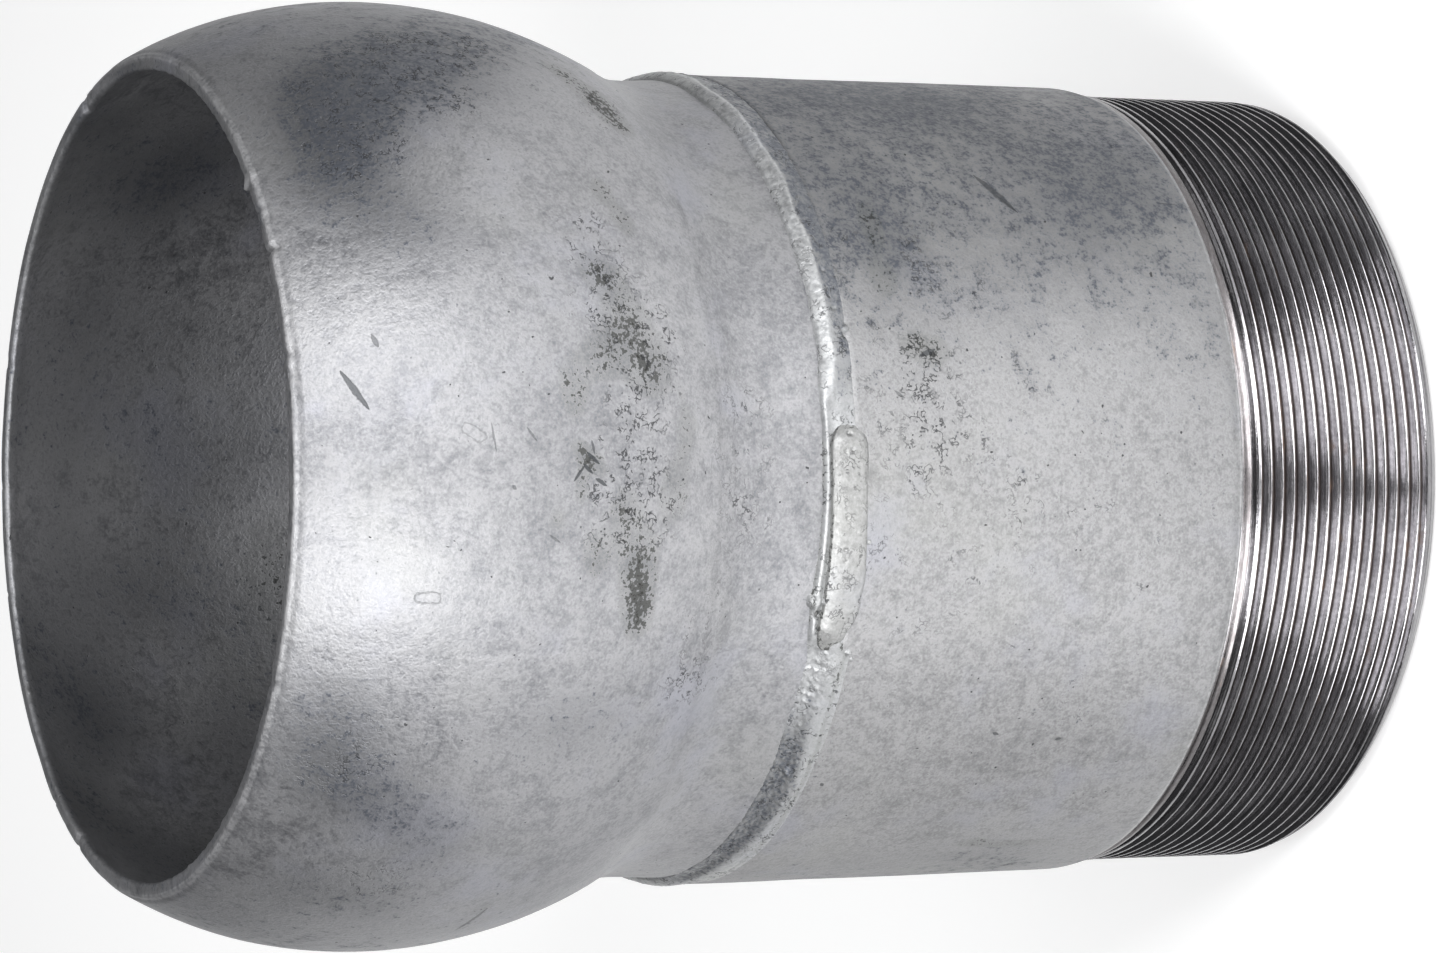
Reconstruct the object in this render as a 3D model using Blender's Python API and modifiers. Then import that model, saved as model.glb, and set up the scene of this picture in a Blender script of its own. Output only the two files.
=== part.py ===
"""Ball-ended pipe nipple: a pressed ball shell, butt welded to a short pipe that
carries a parallel male pipe thread.

Frame: +Z runs along the axis, the threaded end face lies on Z = 0 and the ball
mouth opens upwards. Metres throughout. Every turned section below is a list of
(radius, height) pairs in millimetres, read down the outer side and back up the
inner side, because that is the way a shop drawing gives it.
"""

from math import asin, cos, degrees, hypot, pi, radians, sin, sqrt

import bmesh
import bpy

MM = 0.001

# ----------------------------------------------------------------- overall
HEIGHT = 214.9          # threaded end face to ball mouth
STEPS = 48              # facets round every turned piece
GAP = 0.3               # clearance kept between separate pieces

# ----------------------------------------------------------------- ball shell
BALL_R = 80.8           # outer sphere radius, 161.6 across
BALL_Z = HEIGHT - 38.0  # height of the sphere's centre
PLATE = 2.5             # plate thickness
MOUTH_PULL = 0.55       # the plate draws in a little towards the mouth
MOUTH_PULL_LENGTH = 16.0
NECK_R = 69.3           # smallest outer radius, just below the ball
BLEND_Z = HEIGHT - 75.5  # sphere leaves off, hollow blend into the neck starts
NECK_Z = HEIGHT - 85.0  # smallest section
SHELL_END_Z = HEIGHT - 92.7
SHELL_END_R = 69.62     # the neck opens slightly at the joint
SHELL_BEVEL = 1.5       # height of the bevel that makes the weld groove

# ----------------------------------------------------------------- pipe nipple
PIPE_R = 70.65          # 141.3 pipe
WELD_SWELL = 0.15       # the pipe stands this much larger beside the weld
BORE_R = 65.0
NIPPLE_BEVEL_Z = HEIGHT - 100.6
NIPPLE_ROOT_Z = HEIGHT - 96.2
NIPPLE_ROOT_R = 66.2
SHOULDER_Z = HEIGHT - 171.9

# ----------------------------------------------------------------- G 5 thread
PITCH = 25.4 / 11.0     # 11 threads per inch, parallel, right hand
MAJOR_R = 138.43 / 2.0
DEPTH = 1.479
FLANK = radians(27.5)
CREST_FLAT = PITCH / 6.0
RUNOUT_LOW = 33.0       # full thread below this height
RUNOUT_TOP = 41.4       # the groove has run out here
GROOVE_PHASE = 1.7445   # groove height at the -Y side, above the end face
CHAMFER = [(69.215, 4.0), (68.8, 2.8), (66.1, 0.0)]

# ----------------------------------------------------------------- weld
BEAD = [(69.80, 121.72), (70.35, 121.0), (70.85, 119.6), (71.10, 117.8),
        (71.12, 116.2), (71.02, 114.51)]
BEAD_ROOT_R = 66.9
CLOSING_FROM = -115.0   # arc of the closing run, degrees about +Z
CLOSING_TO = -82.5
CLOSING_STEPS = 8


def clear_scene():
    for obj in list(bpy.data.objects):
        bpy.data.objects.remove(obj, do_unlink=True)
    for mesh in list(bpy.data.meshes):
        bpy.data.meshes.remove(mesh)


def collection(name):
    made = bpy.data.collections.new(name)
    bpy.context.scene.collection.children.link(made)
    return made


def material(name, colour, roughness, metallic):
    mat = bpy.data.materials.new(name)
    mat.use_nodes = True
    bsdf = mat.node_tree.nodes["Principled BSDF"]
    bsdf.inputs["Base Color"].default_value = (*colour, 1.0)
    bsdf.inputs["Roughness"].default_value = roughness
    bsdf.inputs["Metallic"].default_value = metallic
    return mat


def turned(name, section, coll, mat=None, steps=STEPS, angle=2 * pi, rise=0.0,
           turns=1, start=0.0, merge=True):
    """A closed section turned about Z with a Screw modifier."""
    mesh = bpy.data.meshes.new(name)
    verts = [(r * MM * cos(start), r * MM * sin(start), z * MM) for r, z in section]
    count = len(verts)
    mesh.from_pydata(verts, [(i, (i + 1) % count) for i in range(count)], [])
    obj = bpy.data.objects.new(name, mesh)
    coll.objects.link(obj)
    screw = obj.modifiers.new("turn", "SCREW")
    screw.axis = "Z"
    screw.angle = angle
    screw.steps = steps
    screw.render_steps = steps
    screw.screw_offset = rise * MM
    screw.iterations = turns
    screw.use_merge_vertices = merge
    screw.merge_threshold = 0.00001
    screw.use_smooth_shade = True
    if mat:
        mesh.materials.append(mat)
    return obj


def evaluated(obj, lift=None):
    """The object with its modifiers applied, its open ends capped and its faces
    turned outwards. lift(z) gives a radial shift in millimetres."""
    graph = bpy.context.evaluated_depsgraph_get()
    made = bpy.data.meshes.new_from_object(obj.evaluated_get(graph), depsgraph=graph)
    bm = bmesh.new()
    bm.from_mesh(made)
    if lift:
        for v in bm.verts:
            radius = hypot(v.co.x, v.co.y)
            scale = (radius + lift(v.co.z / MM) * MM) / radius
            v.co.x *= scale
            v.co.y *= scale
    bmesh.ops.holes_fill(bm, edges=[e for e in bm.edges if e.is_boundary], sides=0)
    bmesh.ops.recalc_face_normals(bm, faces=bm.faces)
    if bm.calc_volume(signed=True) < 0:
        bmesh.ops.reverse_faces(bm, faces=bm.faces)
    bm.to_mesh(made)
    bm.free()
    old = obj.data
    obj.modifiers.clear()
    obj.data = made
    bpy.data.meshes.remove(old)
    return obj


def cut(obj, cutter):
    """Exact Boolean cut that stays on the object as a modifier."""
    cutter.hide_render = True
    cutter.display_type = "WIRE"
    boolean = obj.modifiers.new("cut", "BOOLEAN")
    boolean.operation = "DIFFERENCE"
    boolean.solver = "EXACT"
    boolean.object = cutter


def smooth(obj, angle):
    obj.data.shade_smooth()
    obj.data.set_sharp_from_angle(angle=radians(angle))


def arc(radius, centre_z, top_z, bottom_z, count):
    """Points down a sphere's side from top_z to bottom_z."""
    high = asin((top_z - centre_z) / radius)
    low = asin((bottom_z - centre_z) / radius)
    found = []
    for i in range(count):
        t = high + (low - high) * i / (count - 1)
        found.append((radius * cos(t), centre_z + radius * sin(t)))
    return found


def drawn_in(point):
    """The mouth of the ball sits slightly inside the true sphere."""
    radius, z = point
    down = HEIGHT - z
    if down >= MOUTH_PULL_LENGTH:
        return point
    share = 1.0 - down / MOUTH_PULL_LENGTH
    return radius - MOUTH_PULL * share ** 1.3, z


def blend(r0, z0, slope0, r1, z1, count):
    """A smooth curve from (r0, z0), leaving at slope dr/dz, to a level end."""
    found = []
    span = z1 - z0
    for i in range(1, count + 1):
        t = i / count
        h00 = 2 * t ** 3 - 3 * t ** 2 + 1
        h10 = t ** 3 - 2 * t ** 2 + t
        h01 = -2 * t ** 3 + 3 * t ** 2
        found.append((h00 * r0 + h10 * span * slope0 + h01 * r1, z0 + span * t))
    return found


def neck_line(offset):
    """The shell's side from mouth to joint at a distance inside its outer face."""
    radius = BALL_R - offset
    ball = [drawn_in(p) for p in arc(radius, BALL_Z, HEIGHT, BLEND_Z, 17)]
    r0, z0 = ball[-1]
    slope = -(z0 - BALL_Z) / sqrt(radius ** 2 - (z0 - BALL_Z) ** 2)
    return ball + blend(r0, z0, slope, NECK_R - offset, NECK_Z, 4)


def make_shell(coll, mat):
    outer = neck_line(0.0) + [(SHELL_END_R, SHELL_END_Z)]
    inner = neck_line(PLATE) + [(SHELL_END_R - PLATE, SHELL_END_Z - SHELL_BEVEL)]
    # a small radius on both edges of the mouth
    outer = [(outer[0][0] - 0.45, HEIGHT), (outer[0][0] + 0.05, HEIGHT - 0.45)] + outer[1:]
    inner = [(inner[0][0] + 0.25, HEIGHT), (inner[0][0], HEIGHT - 0.3)] + inner[1:]
    shell = turned("ball_shell", outer + inner[::-1], coll, mat)
    smooth(shell, 35)
    return shell


def make_nipple(coll, cutters, mat):
    side = [(PIPE_R + WELD_SWELL, NIPPLE_BEVEL_Z), (PIPE_R, SHOULDER_Z),
            (70.2, 41.65), (69.75, 39.4), (69.35, 36.4), (MAJOR_R, 32.9)]
    inside = [(BORE_R, 0.0), (BORE_R, NIPPLE_ROOT_Z), (NIPPLE_ROOT_R, NIPPLE_ROOT_Z)]
    nipple = turned("threaded_nipple", side + CHAMFER + inside, coll, mat)

    # thread groove: a 55 degree form cut by a helical sweep
    root = MAJOR_R - DEPTH
    crest_half = (PITCH - CREST_FLAT) / 2.0
    root_half = crest_half - DEPTH * sin(FLANK) / cos(FLANK)
    over = 0.15                                # the flanks run on past the crest
    shoulder_half = crest_half + over * sin(FLANK) / cos(FLANK)
    shoulder, proud = MAJOR_R + over, MAJOR_R + 2.4
    start = pi / STEPS                         # half a facet round from the blank's
    base = GROOVE_PHASE + PITCH * (0.25 + start / (2 * pi))
    base -= PITCH * (int(base / PITCH) + 2)
    turns = int((RUNOUT_TOP + 1.2 - base) / PITCH) + 1
    form = [(proud, base + shoulder_half), (proud, base - shoulder_half),
            (shoulder, base - shoulder_half), (root, base - root_half),
            (root, base + root_half), (shoulder, base + shoulder_half)]
    groove = turned("thread_groove", form[::-1], cutters, rise=PITCH, turns=turns,
                    start=start, merge=False)

    def lift(z):
        if z <= RUNOUT_LOW:
            return 0.0
        return (PIPE_R + 0.1 - root) * (z - RUNOUT_LOW) / (RUNOUT_TOP - RUNOUT_LOW)

    evaluated(groove, lift)
    cut(nipple, groove)
    smooth(nipple, 30)
    return nipple


def make_bead(coll, cutters, mat):
    # the bead fills the groove between the shell's bevel and the nipple's bevel
    line = ((NIPPLE_ROOT_R - (PIPE_R + WELD_SWELL)), (NIPPLE_ROOT_Z - NIPPLE_BEVEL_Z))
    length = hypot(*line)
    out_r, out_z = line[1] / length * GAP, -line[0] / length * GAP
    low = (NIPPLE_ROOT_R + 0.7 + out_r, NIPPLE_ROOT_Z - 0.7 + out_z)
    root = [low, (BEAD_ROOT_R, NIPPLE_ROOT_Z + 0.9), (67.55, 120.45)]
    bead = turned("weld_bead", BEAD + root, coll, mat)

    # the closing run lies in a ground-out start, so the bead is dished under it
    pocket = [(72.8, 119.95), (70.95, 119.95), (70.1, 118.9), (70.1, 114.6),
              (70.72, 113.7), (72.8, 111.0)]
    spare = degrees(GAP / PIPE_R) * 1.1
    span = radians(CLOSING_TO - CLOSING_FROM + 2 * spare)
    dish = turned("closing_dish", pocket[::-1], cutters, steps=CLOSING_STEPS,
                  angle=span, start=radians(CLOSING_FROM - spare), merge=False)
    evaluated(dish)
    cut(bead, dish)
    smooth(bead, 40)
    return bead


def make_closing_run(coll, mat):
    form = [(71.20, 119.55), (71.66, 118.7), (71.92, 116.9), (71.80, 114.9),
            (71.50, 113.4), (71.12, 112.5), (71.12, 114.0), (70.5, 115.0),
            (70.42, 118.6)]
    run = turned("weld_closing_run", form, coll, mat, steps=CLOSING_STEPS,
                 angle=radians(CLOSING_TO - CLOSING_FROM),
                 start=radians(CLOSING_FROM), merge=False)
    evaluated(run)
    smooth(run, 40)
    return run


def main():
    clear_scene()
    parts = collection("ball_ended_pipe_nipple")
    cutters = collection("cutters")
    zinc = material("galvanised_plate", (0.42, 0.435, 0.44), 0.42, 0.85)
    pipe = material("galvanised_pipe", (0.40, 0.41, 0.41), 0.50, 0.80)
    weld = material("galvanised_weld", (0.50, 0.51, 0.52), 0.30, 0.95)
    weld_end = material("galvanised_weld_end", (0.52, 0.53, 0.54), 0.28, 0.95)
    make_shell(parts, zinc)
    make_nipple(parts, cutters, pipe)
    make_bead(parts, cutters, weld)
    make_closing_run(parts, weld_end)


main()
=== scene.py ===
"""Ball-ended pipe nipple, hot-dip galvanised, with a bare cut G 5 thread: the looks.

The skins below are made from the same drawing as the CAD part, in millimetres from
the ball's mouth (X, down the axis) and degrees round it (phi, 90 facing -Y). Welds,
thread and rim are real geometry; zinc bloom, stains and grain are node materials, and
their masks also paint shade on the edge-on sides, the welds' creases and the thread's
roots, and highlights on the weld's rise.
"""
from math import cos, pi, radians, sin, tan

import bpy
import numpy as np
from mathutils import Matrix, Vector


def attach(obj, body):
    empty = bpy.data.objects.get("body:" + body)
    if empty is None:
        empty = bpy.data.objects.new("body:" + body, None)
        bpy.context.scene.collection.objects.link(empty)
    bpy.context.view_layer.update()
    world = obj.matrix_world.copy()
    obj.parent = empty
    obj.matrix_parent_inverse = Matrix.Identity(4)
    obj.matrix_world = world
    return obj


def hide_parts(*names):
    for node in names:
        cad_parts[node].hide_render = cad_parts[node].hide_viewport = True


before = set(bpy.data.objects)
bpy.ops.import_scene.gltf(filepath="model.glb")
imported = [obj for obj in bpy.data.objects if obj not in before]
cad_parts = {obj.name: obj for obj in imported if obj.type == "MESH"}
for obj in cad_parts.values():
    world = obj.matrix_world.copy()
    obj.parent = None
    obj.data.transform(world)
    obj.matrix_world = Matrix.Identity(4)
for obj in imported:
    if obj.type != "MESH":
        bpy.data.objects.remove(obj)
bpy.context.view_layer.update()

MM = 0.001
H = 214.9
BALL_R, BALL_X, PLATE = 80.8, 38.0, 2.5
PITCH, MAJOR, DEPTH = 25.4 / 11.0, 69.215, 1.479
GROOVE_Z = 1.7445            # groove height on the -Y side
RUN_LOW, RUN_TOP = 33.0, 41.4


# ------------------------------------------------------------------ curves
def curve(points):
    """A monotone cubic through (x, y) points, as a function of arrays."""
    x = np.array([p[0] for p in points], float)
    y = np.array([p[1] for p in points], float)
    h = np.diff(x)
    d = np.diff(y) / h
    m = np.zeros(len(x))
    m[0], m[-1] = d[0], d[-1]
    for i in range(1, len(x) - 1):
        if d[i - 1] * d[i] > 0:
            w1, w2 = 2 * h[i] + h[i - 1], h[i] + 2 * h[i - 1]
            m[i] = (w1 + w2) / (w1 / d[i - 1] + w2 / d[i])

    def at(v):
        v = np.clip(np.asarray(v, float), x[0], x[-1])
        i = np.clip(np.searchsorted(x, v) - 1, 0, len(x) - 2)
        t = (v - x[i]) / h[i]
        return ((2 * t**3 - 3 * t**2 + 1) * y[i] + (t**3 - 2 * t**2 + t) * h[i] * m[i]
                + (3 * t**2 - 2 * t**3) * y[i + 1] + (t**3 - t**2) * h[i] * m[i + 1])
    return at


def step(a, b, v):
    t = np.clip((np.asarray(v, float) - a) / (b - a), 0, 1)
    return t * t * (3 - 2 * t)


neck = curve([(73, 72.63), (74, 72.2), (75, 71.75), (76, 71.30), (77, 70.84), (78, 70.44),
              (79, 70.11), (80, 69.83), (81, 69.62), (82, 69.46), (83, 69.36), (84.5, 69.31),
              (86, 69.31), (88, 69.37), (90, 69.46), (92, 69.56), (95, 69.68)])
pipe = curve([(96, 70.93), (99, 70.90), (102, 70.88), (112, 70.88), (120, 70.80), (134, 70.79),
              (146, 70.74), (158, 70.68), (170, 70.64), (171, 70.62), (171.75, 70.56),
              (172.5, 70.41), (173.25, 70.22), (174, 70.04), (174.75, 69.89), (175.5, 69.74),
              (176.25, 69.61), (177, 69.50), (177.75, 69.42), (178.5, 69.35), (179.5, 69.30),
              (181, 69.28), (186, 69.235), (210, 69.215), (210.9, 69.1), (211.6, 68.9),
              (212.3, 68.45), (213, 67.95), (214, 66.97), (214.9, 66.05)])
bow = curve([(74, 0), (78, .03), (80, .10), (82, .17), (84, .20), (87, .24), (97, .30),
             (104, .38), (112, .35), (120, .34), (134, .30), (146, .22), (158, .13),
             (170, .08), (180, 0), (215, 0)])


def shell_outer(x):
    ball = np.sqrt(np.maximum(BALL_R**2 - (x - BALL_X)**2, 1.0))
    ball = ball - 0.55 * np.clip(1 - x / 17.0, 0, 1)**1.2
    return np.where(x < 73.5, ball, neck(np.maximum(x, 73.0)))


# ------------------------------------------------------------------ relief
def waves(seed, count, low, high, radius=72.0):
    """Seamless surface noise: sums of waves of low..high mm, about -1..1."""
    rng = np.random.default_rng(seed)
    parts = []
    for _ in range(count):
        length = low * (high / low)**rng.random()
        turn = rng.random() * 2 * pi
        n = round(cos(turn) * 2 * pi * radius / length)
        k = sin(turn) * 2 * pi / length
        parts.append((n, k, rng.random() * 2 * pi, (length / high)**0.5))
    norm = (sum(p[3]**2 for p in parts) / 2)**0.5 * 1.6

    def at(phi, x):
        total = np.zeros(np.broadcast(phi, x).shape)
        for n, k, p, a in parts:
            total += a * np.cos(n * np.radians(phi) + k * x + p)
        return total / norm
    return at


def arc(phi, at):
    """Millimetres round the pipe from the angle at."""
    return ((phi - at + 180) % 360 - 180) * (pi / 180) * 71.0


def blot(phi, x, at, rx, ra, turn=0.0):
    """A soft round mark at (X, phi): rx along the axis, ra round it."""
    u, v = x - at[0], arc(phi, at[1])
    c, s = cos(radians(turn)), sin(radians(turn))
    a, b = (c * u + s * v) / rx, (-s * u + c * v) / ra
    return np.exp(-(a * a + b * b))


def ball_bump(phi, x, at, r):
    """Height of a half-sunk ball of radius r at (X, phi)."""
    d2 = (x - at[0])**2 + arc(phi, at[1])**2
    return np.sqrt(np.maximum(r * r - d2, 0.0))


# ------------------------------------------------------------------ meshes
def place(r, phi, x):
    """(r, phi, X) in mm and degrees to metres in the part's frame."""
    t = np.radians(phi)
    out = np.empty(np.broadcast(r, phi, x).shape + (3,))
    out[..., 0] = (r * np.cos(t) - bow(x)) * MM
    out[..., 1] = -r * np.sin(t) * MM
    out[..., 2] = (H - x) * MM
    return out


def make(name, verts, quads, mats, slots=None, attributes=None):
    """A smooth mesh object; quads that repeat a vertex become triangles."""
    q = np.asarray(quads)
    same = [q[:, i] == q[:, (i + 1) % 4] for i in range(4)]
    count = sum(s.astype(int) for s in same)
    faces, which = [], []
    full = q[count == 0]
    faces_q = full.tolist()
    slot_q = (slots[count == 0] if slots is not None else np.zeros(len(full), int)).tolist()
    tri_f, tri_s = [], []
    for i in np.nonzero(count == 1)[0]:
        row = q[i]
        keep = [row[j] for j in range(4) if row[j] != row[(j + 1) % 4]]
        if len(set(keep)) == 3:
            tri_f.append([int(v) for v in keep])
            tri_s.append(int(slots[i]) if slots is not None else 0)
    mesh = bpy.data.meshes.new(name)
    mesh.from_pydata(verts.tolist(), [], faces_q + tri_f)
    mesh.polygons.foreach_set("use_smooth", np.ones(len(mesh.polygons), bool))
    for m in mats:
        mesh.materials.append(m)
    mesh.polygons.foreach_set("material_index", np.array(slot_q + tri_s, np.int32))
    for key, values in (attributes or {}).items():
        layer = mesh.attributes.new(key, "FLOAT", "POINT")
        layer.data.foreach_set("value", np.asarray(values, np.float32))
    mesh.validate()
    mesh.update()
    obj = bpy.data.objects.new(name, mesh)
    bpy.context.scene.collection.objects.link(obj)
    return obj


def turned(name, r, phi, x, mats, attributes=None):
    """A closed turned skin from rings: r and x are (rows, N), phi is (N,). Rows run
    down the outside and back up the inside; the last row joins the first."""
    rows, n = r.shape
    verts = place(r, phi[None, :], x).reshape(-1, 3)
    i = np.arange(rows)[:, None] * n
    nxt = (np.arange(rows)[:, None] + 1) % rows * n
    j = np.arange(n)[None, :]
    k = (j + 1) % n
    quads = np.stack([i + j, i + k, nxt + k, nxt + j], axis=-1).reshape(-1, 4)
    flat = {key: np.asarray(v).reshape(-1) for key, v in (attributes or {}).items()}
    return make(name, verts, quads, mats, attributes=flat)


def outward(obj):
    """Faces turned outwards, and loose vertices dropped."""
    import bmesh
    bm = bmesh.new()
    bm.from_mesh(obj.data)
    bmesh.ops.delete(bm, geom=[v for v in bm.verts if not v.link_faces], context="VERTS")
    if bm.calc_volume(signed=True) < 0:
        bmesh.ops.reverse_faces(bm, faces=bm.faces)
    bm.to_mesh(obj.data)
    bm.free()
    return obj


# ------------------------------------------------------------------ materials
class Nodes:
    """A small helper for building a node material."""

    def __init__(self, name):
        self.mat = bpy.data.materials.new(name)
        self.mat.use_nodes = True
        self.tree = self.mat.node_tree
        self.bsdf = self.tree.nodes["Principled BSDF"]
        self.coord = self.new("ShaderNodeTexCoord").outputs["Object"]

    def new(self, kind, **props):
        node = self.tree.nodes.new(kind)
        for key, value in props.items():
            setattr(node, key, value)
        return node

    def put(self, socket, value):
        if hasattr(value, "is_output"):
            self.tree.links.new(value, socket)
        else:
            socket.default_value = value

    def math(self, op, a, b=0.0, clamp=False):
        node = self.new("ShaderNodeMath", operation=op, use_clamp=clamp)
        self.put(node.inputs[0], a)
        self.put(node.inputs[1], b)
        return node.outputs[0]

    def add(self, *terms):
        total = terms[0]
        for t in terms[1:]:
            total = self.math("ADD", total, t)
        return total

    def mul(self, a, b):
        return self.math("MULTIPLY", a, b)

    def ramp(self, value, low, high, to_low=0.0, to_high=1.0):
        node = self.new("ShaderNodeMapRange", interpolation_type="SMOOTHSTEP")
        self.put(node.inputs["Value"], value)
        for key, v in (("From Min", low), ("From Max", high), ("To Min", to_low), ("To Max", to_high)):
            self.put(node.inputs[key], v)
        return node.outputs["Result"]

    def scaled(self, scale, offset=(0, 0, 0)):
        node = self.new("ShaderNodeMapping")
        self.put(node.inputs["Vector"], self.coord)
        node.inputs["Scale"].default_value = scale
        node.inputs["Location"].default_value = offset
        return node.outputs["Vector"]

    def noise(self, size_mm, detail=3.0, rough=0.55, offset=(0, 0, 0), stretch=(1, 1, 1), distort=0.0):
        """Noise whose features are about size_mm across, centred on 0."""
        node = self.new("ShaderNodeTexNoise")
        s = 1000.0 / size_mm
        self.put(node.inputs["Vector"], self.scaled(tuple(s / a for a in stretch), offset))
        node.inputs["Scale"].default_value = 1.0
        node.inputs["Detail"].default_value = detail
        node.inputs["Roughness"].default_value = rough
        node.inputs["Distortion"].default_value = distort
        return self.math("SUBTRACT", node.outputs[0], 0.5)

    def cells(self, size_mm, offset=(0, 0, 0), feature="F1", out="Distance", stretch=(1, 1, 1)):
        node = self.new("ShaderNodeTexVoronoi", feature=feature)
        s = 1000.0 / size_mm
        self.put(node.inputs["Vector"], self.scaled(tuple(s / a for a in stretch), offset))
        node.inputs["Scale"].default_value = 1.0
        return node.outputs[out]

    def mix(self, factor, a, b):
        node = self.new("ShaderNodeMix", data_type="RGBA")
        self.put(node.inputs["Factor"], factor)
        colours = [s for s in node.inputs if s.type == "RGBA"]
        for socket, value in zip(colours, (a, b)):
            self.put(socket, value if hasattr(value, "is_output") else (*value, 1.0))
        return [s for s in node.outputs if s.type == "RGBA"][0]

    def attr(self, name):
        return self.new("ShaderNodeAttribute", attribute_name=name).outputs["Fac"]

    def bump(self, height, distance_mm, strength=1.0, normal=None):
        node = self.new("ShaderNodeBump")
        node.inputs["Strength"].default_value = strength
        node.inputs["Distance"].default_value = distance_mm * MM
        self.put(node.inputs["Height"], height)
        if normal is not None:
            self.put(node.inputs["Normal"], normal)
        return node.outputs["Normal"]

    def segment(self, radius, a, b):
        """Distance to a straight line on the surface between two (X, phi) places, and how
        far along it the nearest point is, 0 to 1."""
        pa, pb = (Vector(place(radius(p[0]), p[1], np.array(float(p[0]))).tolist()) for p in (a, b))
        along = pb - pa
        rel = self.new("ShaderNodeVectorMath", operation="SUBTRACT")
        self.put(rel.inputs[0], self.coord)
        rel.inputs[1].default_value = pa
        dot = self.new("ShaderNodeVectorMath", operation="DOT_PRODUCT")
        self.put(dot.inputs[0], rel.outputs[0])
        dot.inputs[1].default_value = along / along.length_squared
        t = self.math("MINIMUM", self.math("MAXIMUM", dot.outputs["Value"], 0.0), 1.0)
        foot = self.new("ShaderNodeVectorMath", operation="SCALE")
        foot.inputs[0].default_value = along
        self.put(foot.inputs["Scale"], t)
        gap = self.new("ShaderNodeVectorMath", operation="DISTANCE")
        self.put(gap.inputs[0], rel.outputs[0])
        self.put(gap.inputs[1], foot.outputs[0])
        return gap.outputs["Value"], t

    def cut(self, radius, a, b, width):
        """A cut that is widest in its middle and ragged along its sides."""
        d, t = self.segment(radius, a, b)
        swell = self.add(0.22, self.mul(self.mul(t, self.math("SUBTRACT", 1.0, t)), 3.1))
        edge = self.mul(self.noise(0.8, 2.0, 0.6, (4, 4, 4)), 0.9)
        ratio = self.add(self.math("DIVIDE", d, self.mul(swell, width * MM)), edge)
        return self.ramp(ratio, 1.0, 0.55)

    def finish(self, colour, rough, normal=None, metallic=0.8):
        self.put(self.bsdf.inputs["Base Color"], colour)
        self.put(self.bsdf.inputs["Roughness"], rough)
        self.put(self.bsdf.inputs["Metallic"], metallic)
        if normal is not None:
            self.put(self.bsdf.inputs["Normal"], normal)
        return self.mat


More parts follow.
